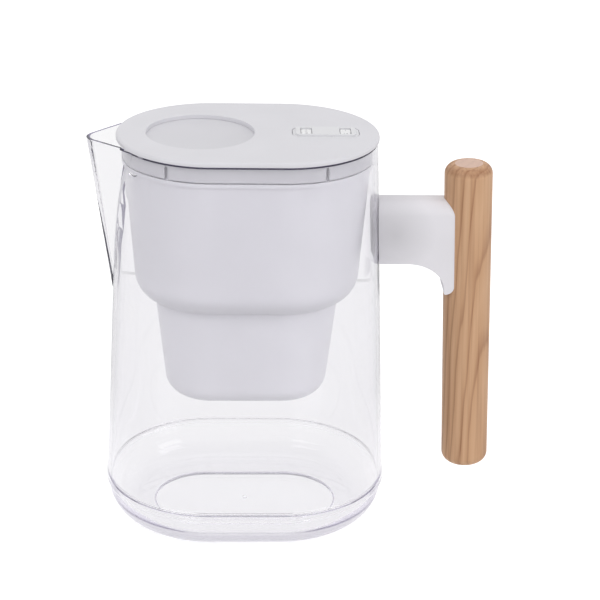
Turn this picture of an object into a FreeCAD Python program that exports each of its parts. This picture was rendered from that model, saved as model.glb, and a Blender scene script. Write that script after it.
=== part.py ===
# A water filter pitcher: a clear jug with a spout, a hanging funnel with its filter cartridge,
# a lid with a sprung fill flap and a date indicator, and a wooden handle on a bracket.
# Millimetres and degrees. The origin is the centre of the resting face, +Z is up,
# +X points to the handle and -X to the spout.
import FreeCAD, Part
import math
import os

V = FreeCAD.Vector
UP = V(0, 0, 1)
HALF_TURN = 180

# Plan: every level is a racetrack, two half circles about end axes joined by straight sides
core_half = 20.5

# Jug wall
seam_radius = 64.0
seam_height = 26.0
rim_height = 238.1
wall_lean = 2.63
jug_wall = 2.6

# Weld between the wall and the base
tongue_thickness = 0.9
tongue_height = 1.5
tongue_inset = 0.9
weld_clearance = 0.1

# Base bowl
base_side_lean = 6.0
base_corner_radius = 19.0
base_wall = 2.8
base_floor = 2.8
recess_core_half = 23.9
recess_radius = 31.9
recess_depth = 2.4
recess_edge_radius = 1.1
bead_height = 3.0
bead_proud = 0.8
gate_radius = 1.5
gate_height = 0.8

# Spout: a beak that narrows from the rim to a point on the wall
spout_overhang = 17.6
spout_rise = 0.4
spout_root_rise = 1.2
spout_lid_gap = 0.5
spout_half_width = 29.0
spout_nose_radius = 9.0
spout_wall = 2.2
spout_depth = 100.1
spout_foot_sink = 1.2
spout_foot_share = 0.04
spout_top_share = 1.1

# Lugs inside the jug that carry the funnel: one at the handle's end, one at each side of the spout
ledge_height = 2.0
handle_lug_half_width = 9.0
spout_lug_width = 5.0
spout_lug_overlap = 3.0

# Rail on the jug that the bracket slides down on
rail_neck_width = 9.0
rail_neck_depth = 2.4
rail_head_width = 14.0
rail_head_depth = 2.2
rail_length = 26.0
rail_clearance = 0.1

# Handle bracket
bracket_drop = 35.6
bracket_height = 37.7
bracket_thickness = 21.8
bracket_top_radius = 8.0
bracket_wall_clearance = 0.1
bracket_tail_length = 19.3
bracket_tail_thickness = 6.1
bracket_tail_inner_radius = 1.0
bracket_tail_outer_radius = 4.9
bracket_hollow_length = 22.5
bracket_hollow_height = 16.8

# Wooden grip
grip_diameter = 28.0
grip_length = 193.4
grip_rise = 21.4
grip_stand_off = 52.4
grip_lean = 2.29
grip_end_radius = 6.0
grip_seat_clearance = 0.05

# Screws that hold the grip to the bracket
grip_screw_diameter = 4.0
grip_screw_head_diameter = 7.6
grip_screw_head_height = 3.0
grip_screw_web = 9.0
grip_screw_bite = 16.0
grip_screw_spacing = 17.0
grip_screw_clearance = 0.1
grip_screw_head_room = 0.5

# Lid
lid_gap = 1.4
lid_overhang = 0.75
lid_plate = 2.5
lid_edge_radius = 1.5
skirt_clearance = 0.4
skirt_wall = 1.6
skirt_height = 10.2
skirt_gap = 0.8
slit_width = 2.2
slit_height = 7.3
slit_angle = 27.4
slit_shift = -1.2
fill_margin = 16.95
fill_edge_radius = 0.5

# Funnel
flange_clearance = 0.35
flange_thickness = 2.2
flange_overlap = 0.6
collar_clearance = 0.9
collar_wall = 1.8
collar_drop = 2.0
funnel_wall = 2.0
funnel_depth = 83.8
funnel_shoulder_radius = 44.6
funnel_shoulder_rise = 4.8
funnel_round = 16.0
cup_top_radius = 33.5
cup_bottom_radius = 26.6
cup_depth = 62.8
cup_corner_radius = 12.0
drain_slot_width = 2.4
drain_slot_length = 22.0
drain_slot_count = 7
drain_slot_pitch = 7.0
slot_corner_share = 0.9

# Filter cartridge
seat_rise = 2.8
seat_width = 4.0
seal_height = 2.2
seal_width = 2.4
seal_edge_radius = 0.45
cartridge_clearance = 0.8
cartridge_wall = 1.6
cartridge_floor_gap = 1.5
cartridge_flange = 1.8
cap_height = 6.0
cap_inset = 0.6
cap_edge_radius = 3.0
cap_slot_count = 5
cap_slot_pitch = 6.0
cap_slot_width = 3.0
cap_slot_length = 30.0
cap_slot_start = 16.0
tab_half_length = 10.0
tab_height = 6.5
tab_thickness = 3.0
tab_frame = 3.2
mesh_thickness = 0.8
bed_headroom = 4.9
resin_share = 0.5345
bed_clearance = 0.3

# Fill flap under the opening
flap_lap = 1.85
flap_gap = 0.1
flap_thickness = 1.8
flap_dish_depth = 3.5
flap_dish_margin = 0.3
hinge_stand_off = 3.0
hinge_pin_diameter = 2.4
hinge_running = 0.05
hinge_seat = 0.02
knuckle_radius = 2.7
knuckle_gap = 0.4
knuckle_width = 5.0
knuckle_spread = 11.5
lug_width = 3.0
lug_gap = 0.4
lug_half_width = 2.6
lug_corner_radius = 2.3

# Torsion spring on the flap's pin
spring_wire = 0.8
spring_clearance = 0.3
spring_leg_cover = 0.05
spring_half_length = 6.0
spring_flap_bite = 0.6
spring_lid_reach = 10.0
spring_touch = 0.1

# Date indicator
indicator_inset = 31.0
spring_housing_gap = 5.7
bezel_half_length = 19.0
bezel_half_width = 9.6
bezel_corner_radius = 7.0
bezel_plate = 1.6
bezel_ledge = 0.8
bezel_ledge_width = 1.6
bezel_clearance = 0.35
bar_end_inset = 1.8
bar_side_inset = 2.2
bar_corner_radius = 3.0
bar_height = 1.0
window_width = 6.6
window_end_frame = 2.7
window_side_frame = 2.0
window_relief = 0.4
leg_width = 6.0
leg_thickness = 1.2
leg_length = 2.4
leg_inset = 0.2
barb_reach = 0.8
barb_height = 1.3
wheel_diameter = 17.0
wheel_proud = 0.3
wheel_side_gap = 0.3
wheel_chamfer = 0.4
wheel_groove_radius = 0.3
day_count = 31
month_count = 12
axle_diameter = 3.0
axle_end = 0.8
axle_running = 0.05
axle_seat = 0.02
housing_wall = 1.5
housing_margin = 0.7
housing_wheel_gap = 0.7
cheek_thickness = 1.2
cheek_above = 2.4
boss_diameter = 6.0
boss_height = 3.5
boss_stand_off = 3.0
housing_tab = 2.0
housing_tab_width = 7.0
housing_screw_diameter = 2.4
housing_screw_head_diameter = 4.6
housing_screw_head_height = 1.6
housing_screw_tip = 0.5
housing_screw_clearance = 0.1

# How far one solid reaches into the next before they are fused or cut, and a length past everything
bury = 0.5
far = 300.0
smallest_edge = 0.000001


def tangent(degrees):
    return math.tan(math.radians(degrees))


# Sizes that follow from the ones above
lid_bottom = rim_height + lid_gap
lid_top = lid_bottom + lid_plate
rim_outer_radius = seam_radius - (rim_height - seam_height) * tangent(wall_lean)
rim_inner_radius = rim_outer_radius - jug_wall
lid_radius = rim_outer_radius + lid_overhang
skirt_outer = rim_inner_radius - skirt_clearance
skirt_inner = skirt_outer - skirt_wall
skirt_bottom = lid_bottom - skirt_height
lid_half_length = core_half + lid_radius
indicator_offset = lid_half_length - indicator_inset
housing_half_length = bezel_half_length - bezel_ledge_width - leg_inset + barb_reach + housing_margin
housing_outer_length = housing_half_length + housing_wall
fill_start = fill_margin - lid_half_length
hinge_x = indicator_offset - housing_outer_length - spring_housing_gap - spring_lid_reach
fill_radius = (hinge_x - hinge_stand_off - flap_lap - fill_start) / 2
fill_offset = fill_start + fill_radius
spout_reach = core_half + rim_outer_radius + spout_overhang
spout_foot_height = rim_height - spout_depth
flange_radius = rim_inner_radius - flange_clearance
flange_top = skirt_bottom - skirt_gap
ledge_top = flange_top - flange_thickness
ledge_radius = flange_radius - flange_overlap
funnel_neck = ledge_radius - flange_clearance
collar_outer = skirt_inner - collar_clearance
collar_inner = collar_outer - collar_wall
collar_top = lid_bottom - collar_drop
cup_top_height = ledge_top - funnel_depth
cup_bottom_height = cup_top_height - cup_depth
funnel_shoulder_height = cup_top_height + funnel_shoulder_rise
seat_height = cup_top_height + seat_rise
flap_radius = fill_radius + flap_lap
hinge_z = lid_bottom - knuckle_radius - knuckle_gap
flap_top = lid_bottom - flap_gap
flap_bottom = flap_top - flap_thickness
spring_flap_reach = hinge_stand_off + flap_lap + spring_flap_bite
pin_radius = hinge_pin_diameter / 2
grip_radius = grip_diameter / 2
grip_top = rim_height - bracket_drop + grip_rise
bracket_half = bracket_thickness / 2
bracket_top = rim_height - bracket_drop
bracket_bottom = bracket_top - bracket_height
bracket_tail_bottom = bracket_bottom - bracket_tail_length
rail_bottom = bracket_bottom
rail_top = rail_bottom + rail_length
bar_half_length = bezel_half_length - bar_end_inset
bar_half_width = bezel_half_width - bar_side_inset
window_spread = bar_half_length - window_end_frame - window_width / 2
window_half_length = bar_half_width - window_side_frame
bar_top = lid_bottom + bezel_ledge + bezel_plate + bar_height
wheel_radius = wheel_diameter / 2
wheel_width = window_width - 2 * wheel_side_gap
axle_radius = axle_diameter / 2
axle_height = bar_top + wheel_proud - wheel_radius
housing_floor_top = axle_height - wheel_radius - housing_wheel_gap
housing_half_width = wheel_radius + housing_wheel_gap
housing_outer_width = housing_half_width + housing_wall
cheek_inner = window_spread - wheel_width / 2 - wheel_side_gap - cheek_thickness
cheek_outer = window_spread + wheel_width / 2 + wheel_side_gap
axle_half_length = cheek_outer + cheek_thickness + axle_end
boss_spread = housing_outer_width + boss_stand_off
tab_top = lid_bottom - boss_height
tab_bottom = tab_top - housing_tab


def outer_radius(height):
    """Outer end radius of the jug's wall at a height."""
    return seam_radius - (height - seam_height) * tangent(wall_lean)


def base_radius(height):
    """Outer end radius of the base's side before its lower corner is rounded."""
    return seam_radius - (seam_height - height) * tangent(base_side_lean)


def cup_radius(height):
    """Outer end radius of the funnel's cup at a height."""
    share = (height - cup_bottom_height) / (cup_top_height - cup_bottom_height)
    return cup_bottom_radius + share * (cup_top_radius - cup_bottom_radius)


def shell_radius(height):
    """Outer end radius of the cartridge's shell at a height."""
    return cup_radius(height) - funnel_wall - cartridge_clearance


def bed_radius(height):
    """End radius of what lies inside the cartridge's shell at a height."""
    return shell_radius(height) - cartridge_wall - bed_clearance


def wall_end(height):
    """X of the jug's outer wall at a height, at the handle's end."""
    return core_half + outer_radius(height)


def grip_axis(height):
    """X of the grip's axis at a height."""
    return wall_end(bracket_top) + grip_stand_off + (bracket_top - height) * tangent(grip_lean)


def arc_through(start, middle, end):
    return Part.Arc(start, middle, end).toShape()


def ellipse_within(start, corner, end):
    """A quarter of an ellipse that rounds a square corner."""
    curve = Part.BezierCurve()
    curve.setPoles([start, corner, end])
    curve.setWeight(2, math.sqrt(0.5))
    return curve.toShape()


def rounded_wire(corners, place):
    """A closed wire through corners that place(u, v) puts in space.

    A corner is (u, v) if sharp, (u, v, radius) if round, and (u, v, reach back, reach ahead) if
    it is square and rounded by an ellipse.
    """
    spans = []
    for i, corner in enumerate(corners):
        here = V(corner[0], corner[1], 0)
        if len(corner) == 2:
            spans.append((here, None, here, here))
            continue
        before = corners[i - 1]
        after = corners[(i + 1) % len(corners)]
        to_before = (V(before[0], before[1], 0) - here).normalize()
        to_after = (V(after[0], after[1], 0) - here).normalize()
        if len(corner) == 4:
            spans.append((here + to_before * corner[2], ellipse_within, here, here + to_after * corner[3]))
            continue
        half_angle = to_before.getAngle(to_after) / 2
        reach = corner[2] / math.tan(half_angle)
        inward = (to_before + to_after).normalize()
        middle = here + inward * (corner[2] / math.sin(half_angle) - corner[2])
        spans.append((here + to_before * reach, arc_through, middle, here + to_after * reach))
    edges = []
    for i, (start, bend, middle, end) in enumerate(spans):
        if bend is not None:
            edges.append(bend(*[place(p.x, p.y) for p in (start, middle, end)]))
        following = spans[(i + 1) % len(spans)][0]
        if (following - end).Length > smallest_edge:
            line = Part.LineSegment(place(end.x, end.y), place(following.x, following.y))
            edges.append(line.toShape())
    return Part.Wire(edges)


def rounded_face(corners, place):
    return Part.Face(rounded_wire(corners, place))


def racetrack(section, core=core_half):
    """A half section of (radius, height) corners swept round a racetrack plan."""
    face = rounded_face(section, lambda radius, height: V(core, -radius, height))
    end = face.revolve(V(core, 0, 0), UP, HALF_TURN)
    side = face.extrude(V(-2 * core, 0, 0))
    half = end.fuse(side)
    return half.fuse(half.rotated(V(0, 0, 0), UP, HALF_TURN)).removeSplitter()


def racetrack_slab(low_radius, low, high_radius, high):
    """A solid racetrack between two heights, with an end radius at each."""
    return racetrack([(0, low), (low_radius, low), (high_radius, high), (0, high)])


def block(x_low, x_high, y_low, y_high, z_low, z_high):
    return Part.makeBox(x_high - x_low, y_high - y_low, z_high - z_low, V(x_low, y_low, z_low))


def rounded_slab(x, y, half_length, half_width, radius, low, high):
    """A flat slab with rounded corners, centred on (x, y)."""
    corners = [
        (x - half_length, y - half_width, radius),
        (x + half_length, y - half_width, radius),
        (x + half_length, y + half_width, radius),
        (x - half_length, y + half_width, radius),
    ]
    return rounded_face(corners, lambda u, v: V(u, v, low)).extrude(V(0, 0, high - low))


def turned(section, base, axis):
    """A half section of (radius, length) corners turned about an axis from a base point."""
    face = rounded_face(section, lambda radius, length: V(radius, 0, length))
    solid = face.revolve(V(0, 0, 0), UP, 2 * HALF_TURN)
    solid.Placement = FreeCAD.Placement(base, FreeCAD.Rotation(UP, axis))
    return solid


def rod(radius, start, end):
    return Part.makeCylinder(radius, (end - start).Length, start, end - start)


def cut_all(solid, tools):
    for tool in tools:
        solid = solid.cut(tool)
    return solid


def fuse_all(solids):
    whole = solids[0]
    for solid in solids[1:]:
        whole = whole.fuse(solid)
    return whole.removeSplitter()


# Jug


def spout_cone(shift):
    """The beak as a cone of its plan at the tip, moved towards the handle by shift."""
    corner_x = core_half + math.sqrt(rim_outer_radius ** 2 - spout_half_width ** 2)
    nose_x = spout_reach - spout_nose_radius
    run = nose_x - corner_x
    span = math.hypot(run, spout_half_width)
    slope = math.atan2(spout_half_width, run) - math.asin(spout_nose_radius / span)
    point_x = corner_x + spout_half_width / math.tan(slope)
    plan = [
        (0, spout_half_width),
        (-corner_x, spout_half_width),
        (-point_x, 0, spout_nose_radius),
        (-corner_x, -spout_half_width),
        (0, -spout_half_width),
    ]
    foot = V(-core_half - outer_radius(spout_foot_height) + spout_foot_sink, 0, spout_foot_height)
    tip_height = rim_height + spout_rise
    wires = []
    for share in (spout_foot_share, spout_top_share):
        wires.append(rounded_wire(plan, lambda x, y: foot + (V(x, y, tip_height) - foot) * share))
    cone = Part.makeLoft(wires, True, True)
    cone.translate(V(shift, 0, 0))
    return cone


def above_the_rim():
    """Everything above the rim, which is level under the lid and slopes beyond it to the spout's tip."""
    inside = lid_radius + spout_lid_gap
    under_lid = racetrack_slab(inside, rim_height, inside, far)
    root_x = core_half + inside
    slope = (spout_root_rise - spout_rise) / (spout_reach - root_x)
    corners = [
        (-far, rim_height + spout_root_rise - slope * (far - root_x)),
        (0, rim_height + spout_root_rise + slope * root_x),
        (0, far),
        (-far, far),
    ]
    beyond = rounded_face(corners, lambda x, z: V(x, -far, z)).extrude(V(0, 2 * far, 0))
    return under_lid.fuse(beyond)


def jug_body():
    top = rim_height + lid_plate + spout_rise
    outer = racetrack_slab(seam_radius, seam_height, outer_radius(top), top)
    low = seam_height - bury
    inner = racetrack_slab(outer_radius(low) - jug_wall, low, outer_radius(top + bury) - jug_wall, top + bury)
    channel = spout_cone(spout_wall)
    body = outer.fuse(spout_cone(0)).cut(inner).cut(channel)
    body = body.fuse(funnel_lugs().cut(channel)).cut(above_the_rim())
    groove_outer = seam_radius - tongue_inset + weld_clearance
    groove_inner = groove_outer - tongue_thickness - 2 * weld_clearance
    groove_top = seam_height + tongue_height + weld_clearance
    body = body.cut(racetrack([
        (groove_inner, low),
        (groove_outer, low),
        (groove_outer, groove_top),
        (groove_inner, groove_top),
    ]))
    return body.fuse(handle_rail(0)).removeSplitter()


def funnel_lugs():
    """The lugs inside the wall: stretches of a ledge with a flat top."""
    root = outer_radius(ledge_top) - jug_wall / 2
    ledge = racetrack([
        (ledge_radius, ledge_top),
        (root, ledge_top),
        (root, ledge_top - ledge_height),
    ])
    low = ledge_top - ledge_height
    kept = [block(core_half, far, -handle_lug_half_width, handle_lug_half_width, low, ledge_top)]
    start = spout_half_width - spout_lug_overlap
    for side in (-1, 1):
        edge = min(side * start, side * (start + spout_lug_width))
        kept.append(block(-far, -core_half, edge, edge + spout_lug_width, low, ledge_top))
    return ledge.common(Part.makeCompound(kept))


def handle_rail(clearance):
    """The T-shaped rail on the jug, or with a clearance the slot for it."""
    root = wall_end(rail_top) - jug_wall / 2
    neck_half = rail_neck_width / 2 + clearance
    head_half = rail_head_width / 2 + clearance
    head_start = wall_end(rail_bottom) + rail_neck_depth - clearance
    head_end = head_start + rail_head_depth + 2 * clearance
    low = rail_bottom - clearance
    high = rail_top + clearance
    neck = block(root, head_start + bury, -neck_half, neck_half, low, high)
    return neck.fuse(block(head_start, head_end, -head_half, head_half, low, high))


def jug_base():
    inner_floor = recess_depth + base_floor
    inner_corner = base_corner_radius - base_wall
    bead_low = seam_height - bead_height
    bowl = racetrack([
        (0, 0),
        (base_radius(0), 0, base_corner_radius),
        (base_radius(bead_low), bead_low),
        (seam_radius + bead_proud, bead_low),
        (seam_radius + bead_proud, seam_height),
        (seam_radius - base_wall, seam_height),
        (base_radius(inner_floor) - base_wall, inner_floor, inner_corner),
        (0, inner_floor),
    ])
    tongue_outer = seam_radius - tongue_inset
    tongue = racetrack([
        (tongue_outer - tongue_thickness, seam_height - bury),
        (tongue_outer, seam_height - bury),
        (tongue_outer, seam_height + tongue_height),
        (tongue_outer - tongue_thickness, seam_height + tongue_height),
    ])
    recess = racetrack([
        (0, -bury),
        (recess_radius, -bury),
        (recess_radius, recess_depth, recess_edge_radius),
        (0, recess_depth),
    ], recess_core_half)
    gate = Part.makeCylinder(gate_radius, gate_height + bury, V(0, 0, recess_depth - gate_height))
    return fuse_all([bowl.cut(recess), tongue, gate])


# Handle


def grip_axis_frame():
    """The grip's lower end and the direction of its axis."""
    lean = math.radians(grip_lean)
    axis = V(-math.sin(lean), 0, math.cos(lean))
    return V(grip_axis(grip_top), 0, grip_top) - axis * grip_length, axis


def grip_screw_heights():
    middle = (rail_bottom + bracket_top) / 2
    return (middle - grip_screw_spacing / 2, middle + grip_screw_spacing / 2)


def grip_screw(height, clearance, head_room):
    """One screw along X, or with a clearance the hole for it."""
    seat = grip_axis(height) - grip_radius - grip_screw_web
    tip = grip_axis(height) - grip_radius + grip_screw_bite
    shank = grip_screw_diameter / 2 + clearance
    head = grip_screw_head_diameter / 2 + head_room
    stem = rod(shank, V(seat - bury, 0, height), V(tip + clearance, 0, height))
    head_start = core_half if head_room else seat - grip_screw_head_height
    return stem.fuse(rod(head, V(head_start, 0, height), V(seat, 0, height)))


def handle_bracket():
    edge = math.sqrt(grip_radius ** 2 - bracket_half ** 2)
    tail_x = grip_axis(bracket_tail_bottom) - edge
    side = [
        (core_half, bracket_bottom),
        (tail_x - bracket_tail_thickness, bracket_bottom, bracket_hollow_length, bracket_hollow_height),
        (tail_x - bracket_tail_thickness, bracket_tail_bottom, bracket_tail_inner_radius),
        (tail_x, bracket_tail_bottom, bracket_tail_outer_radius),
        (grip_axis(bracket_top) - edge, bracket_top),
        (core_half, bracket_top),
    ]
    profile = rounded_face(side, lambda x, z: V(x, -bracket_half, z)).extrude(V(0, bracket_thickness, 0))
    across = [
        (-bracket_half, bracket_tail_bottom - bury),
        (bracket_half, bracket_tail_bottom - bury),
        (bracket_half, bracket_top, bracket_top_radius),
        (-bracket_half, bracket_top, bracket_top_radius),
    ]
    top_round = rounded_face(across, lambda y, z: V(core_half, y, z)).extrude(V(far, 0, 0))
    base, axis = grip_axis_frame()
    seat = rod(grip_radius + grip_seat_clearance, base, base + axis * grip_length)
    jug = racetrack_slab(seam_radius + bracket_wall_clearance, seam_height,
                         rim_outer_radius + bracket_wall_clearance, rim_height)
    holes = [grip_screw(h, grip_screw_clearance, grip_screw_head_room) for h in grip_screw_heights()]
    return cut_all(profile.common(top_round), [seat, jug, handle_rail(rail_clearance)] + holes)


def handle_grip():
    base, axis = grip_axis_frame()
    dowel = turned([
        (0, 0),
        (grip_radius, 0, grip_end_radius),
        (grip_radius, grip_length, grip_end_radius),
        (0, grip_length),
    ], base, axis)
    return cut_all(dowel, [grip_screw(h, grip_screw_clearance, 0) for h in grip_screw_heights()])


def grip_screws():
    return Part.makeCompound([grip_screw(h, 0, 0).removeSplitter() for h in grip_screw_heights()])


# Funnel and cartridge


def funnel():
    inner_shoulder = seat_height + (funnel_shoulder_height - cup_top_height)
    mouth = cup_radius(seat_height) - funnel_wall
    cup_floor = cup_bottom_height + funnel_wall
    body = racetrack([
        (0, cup_bottom_height),
        (cup_bottom_radius, cup_bottom_height, cup_corner_radius),
        (cup_top_radius, cup_top_height),
        (funnel_shoulder_radius, funnel_shoulder_height, funnel_round),
        (funnel_neck, ledge_top),
        (flange_radius, ledge_top),
        (flange_radius, flange_top),
        (collar_outer, flange_top),
        (collar_outer, collar_top),
        (collar_inner, collar_top),
        (collar_inner, ledge_top),
        (funnel_shoulder_radius - funnel_wall, inner_shoulder, funnel_round - funnel_wall),
        (mouth + seat_width, seat_height),
        (mouth, seat_height),
        (cup_radius(cup_floor) - funnel_wall, cup_floor, cup_corner_radius - funnel_wall),
        (0, cup_floor),
    ])
    return cut_all(body, slot_row(
        drain_slot_count, drain_slot_pitch, drain_slot_width, drain_slot_length, 0,
        cup_bottom_height - bury, cup_floor + bury))


def slot_row(count, pitch, width, length, middle, low, high):
    """A row of rounded slots along X, each lying across the plan."""
    slots = []
    for i in range(count):
        x = middle + (i - (count - 1) / 2) * pitch
        slots.append(rounded_slab(x, 0, width / 2, length / 2, slot_corner_share * width / 2, low, high))
    return slots


shell_bottom = cup_bottom_height + funnel_wall + cartridge_floor_gap
shell_floor = shell_bottom + cartridge_wall
flange_low = seat_height + seal_height
flange_high = flange_low + cartridge_flange
seal_inner = cup_radius(seat_height) - funnel_wall + cartridge_clearance
seal_outer = seal_inner + seal_width
cap_top = flange_high + cap_height
mesh_top = shell_floor + mesh_thickness
carbon_top = flange_high - bed_headroom - mesh_thickness
resin_top = mesh_top + resin_share * (carbon_top - mesh_top)
shell_corner_radius = cup_corner_radius - funnel_wall
shell_inner_corner = shell_corner_radius - cartridge_wall
mesh_radius = bed_radius(shell_floor) - shell_inner_corner


def cartridge_shell():
    inside = cartridge_wall
    shell = racetrack([
        (0, shell_bottom),
        (shell_radius(shell_bottom), shell_bottom, shell_corner_radius),
        (shell_radius(flange_low), flange_low),
        (seal_outer, flange_low),
        (seal_outer, flange_high),
        (shell_radius(flange_high) - inside, flange_high),
        (shell_radius(shell_floor) - inside, shell_floor, shell_inner_corner),
        (0, shell_floor),
    ])
    return cut_all(shell, slot_row(
        drain_slot_count, drain_slot_pitch, drain_slot_width, drain_slot_length, 0,
        shell_bottom - bury, shell_floor + bury))


def cartridge_cap():
    radius = seal_outer - cap_inset
    under = cap_top - cartridge_wall
    cap = racetrack([
        (radius - cartridge_wall, flange_high),
        (radius, flange_high),
        (radius, cap_top, cap_edge_radius),
        (0, cap_top),
        (0, under),
        (radius - cartridge_wall, under, cap_edge_radius - cartridge_wall),
    ])
    half_row = cap_slot_start + (cap_slot_count - 1) / 2 * cap_slot_pitch
    for middle in (-half_row, half_row):
        cap = cut_all(cap, slot_row(
            cap_slot_count, cap_slot_pitch, cap_slot_width, cap_slot_length, middle,
            under - bury, cap_top + bury))
    return cap.fuse(pull_tab()).removeSplitter()


def pull_tab():
    """An upright loop on the cap to lift the cartridge by."""
    def frame(inset, low):
        high = cap_top + tab_height - inset
        half = tab_half_length - inset
        round_over = tab_frame + tab_thickness - inset
        corners = [(-half, low), (half, low), (half, high, round_over), (-half, high, round_over)]
        face = rounded_face(corners, lambda x, z: V(x, -tab_thickness / 2, z))
        return face.extrude(V(0, tab_thickness, 0))
    return frame(0, cap_top - bury).cut(frame(tab_frame, cap_top))


def cartridge_seal():
    return racetrack([
        (seal_inner, seat_height, seal_edge_radius),
        (seal_outer, seat_height, seal_edge_radius),
        (seal_outer, flange_low, seal_edge_radius),
        (seal_inner, flange_low, seal_edge_radius),
    ])


def lower_mesh():
    return racetrack_slab(mesh_radius, shell_floor, mesh_radius, mesh_top)


def resin_bed():
    return racetrack([
        (0, mesh_top),
        (bed_radius(mesh_top), mesh_top, shell_inner_corner),
        (bed_radius(resin_top), resin_top),
        (0, resin_top),
    ])


def bed(low, high):
    """A layer that fills the cartridge's shell between two heights."""
    return racetrack_slab(bed_radius(low), low, bed_radius(high), high)


# Lid


def lid_slit(side, front):
    """One slit from the skirt's lower edge, at one of the four corners."""
    half = slit_width / 2
    near = -skirt_outer - skirt_wall
    far_side = -skirt_inner + skirt_wall
    round_top = skirt_bottom + slit_height - half
    slit = block(-half, half, near, far_side, skirt_bottom - bury, round_top)
    slit = slit.fuse(rod(half, V(0, near, round_top), V(0, far_side, round_top)))
    slit.rotate(V(0, 0, 0), UP, slit_angle)
    slit.translate(V(core_half, 0, 0))
    if not front:
        slit = slit.mirror(V(0, 0, 0), V(0, 1, 0))
    if side < 0:
        slit = slit.mirror(V(0, 0, 0), V(1, 0, 0))
    return slit.translated(V(slit_shift, 0, 0))


def hinge_lug(side):
    """An ear under the lid that holds one end of the flap's pin."""
    near = knuckle_spread + knuckle_width / 2 + lug_gap
    low = min(side * near, side * (near + lug_width))
    ear = [
        (hinge_x - lug_half_width, lid_bottom + bury),
        (hinge_x - lug_half_width, hinge_z - lug_half_width, lug_corner_radius),
        (hinge_x + lug_half_width, hinge_z - lug_half_width, lug_corner_radius),
        (hinge_x + lug_half_width, lid_bottom + bury),
    ]
    return rounded_face(ear, lambda x, z: V(x, low, z)).extrude(V(0, lug_width, 0))


def pin_rod(radius, half_length):
    return rod(radius, V(hinge_x, -half_length, hinge_z), V(hinge_x, half_length, hinge_z))


def lid_shell():
    plate = racetrack([
        (0, lid_bottom),
        (lid_radius, lid_bottom),
        (lid_radius, lid_top, lid_edge_radius),
        (0, lid_top),
    ])
    skirt = racetrack([
        (skirt_inner, skirt_bottom),
        (skirt_outer, skirt_bottom),
        (skirt_outer, lid_bottom + bury),
        (skirt_inner, lid_bottom + bury),
    ])
    skirt = cut_all(skirt, [lid_slit(side, front) for side in (-1, 1) for front in (False, True)])
    opening = turned([
        (0, -bury),
        (fill_radius, -bury),
        (fill_radius, lid_plate, fill_edge_radius),
        (fill_radius + 2 * fill_edge_radius, lid_plate),
        (fill_radius + 2 * fill_edge_radius, lid_plate + bury),
        (0, lid_plate + bury),
    ], V(fill_offset, 0, lid_bottom), UP)
    parts = [plate.cut(opening), skirt]
    parts += [hinge_lug(side) for side in (-1, 1)]
    parts += [lid_boss(side) for side in (-1, 1)]
    lid = fuse_all(parts)
    through = rounded_slab(
        indicator_offset, 0, bezel_half_length - bezel_ledge_width, bezel_half_width - bezel_ledge_width,
        bezel_corner_radius - bezel_ledge_width, lid_bottom - bury, lid_top + bury)
    recess = rounded_slab(
        indicator_offset, 0, bezel_half_length + bezel_clearance, bezel_half_width + bezel_clearance,
        bezel_corner_radius + bezel_clearance, lid_bottom + bezel_ledge, lid_top + bury)
    bore = pin_rod(pin_radius + hinge_seat, pin_half_length() + hinge_seat)
    pilots = [housing_screw(side, housing_screw_clearance) for side in (-1, 1)]
    return cut_all(lid, [through, recess, bore] + pilots)


def lid_boss(side):
    return Part.makeCylinder(boss_diameter / 2, boss_height + bury,
                             V(indicator_offset, side * boss_spread, tab_top))


def pin_half_length():
    return knuckle_spread + knuckle_width / 2 + lug_gap + lug_width


# Fill flap


def fill_flap():
    """A disc with a shallow dish pressed into it, and two hinge knuckles."""
    disc = Part.makeCylinder(flap_radius, flap_thickness, V(fill_offset, 0, flap_bottom))
    rim = fill_radius - flap_dish_margin
    dish_radius = (rim ** 2 + flap_dish_depth ** 2) / (2 * flap_dish_depth)
    dish_centre = V(fill_offset, 0, flap_top + dish_radius - flap_dish_depth)
    below = Part.makeCylinder(flap_radius, flap_dish_depth + flap_thickness + bury,
                              V(fill_offset, 0, flap_bottom - flap_dish_depth - bury))
    flap = disc.fuse(Part.makeSphere(dish_radius + flap_thickness, dish_centre).common(below))
    arm_reach = flap_radius - math.sqrt(flap_radius ** 2 - (knuckle_spread + knuckle_width / 2) ** 2)
    arm_start = fill_offset + flap_radius - arm_reach - flap_lap
    for side in (-1, 1):
        low = side * knuckle_spread - knuckle_width / 2
        arm = block(arm_start, hinge_x, low, low + knuckle_width, hinge_z - knuckle_radius / 2, flap_top)
        barrel = rod(knuckle_radius, V(hinge_x, low, hinge_z), V(hinge_x, low + knuckle_width, hinge_z))
        flap = flap.fuse(arm).fuse(barrel)
    flap = flap.removeSplitter().cut(pin_rod(pin_radius + hinge_running, pin_half_length()))
    return flap.cut(Part.makeSphere(dish_radius, dish_centre))


def flap_pin():
    return pin_rod(pin_radius, pin_half_length())


def flap_spring():
    """The spring's coil as a sleeve round the pin, with a leg under the flap and a leg under the lid."""
    inner = pin_radius + spring_clearance
    outer = inner + spring_wire + 2 * spring_leg_cover
    wire = spring_wire / 2
    sleeve = pin_rod(outer, spring_half_length)
    foot_z = hinge_z - (inner + outer) / 2
    leg_y = spring_half_length - wire - spring_leg_cover
    flap_end = V(hinge_x - spring_flap_reach, -leg_y, flap_bottom - spring_touch - wire)
    lid_end = V(hinge_x + spring_lid_reach, leg_y, lid_bottom - spring_touch - wire)
    legs = [
        rod(wire, V(hinge_x, -leg_y, foot_z), flap_end),
        rod(wire, V(hinge_x, leg_y, foot_z), lid_end),
    ]
    return fuse_all([sleeve] + legs).cut(pin_rod(inner, spring_half_length + bury))


# Date indicator


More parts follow.
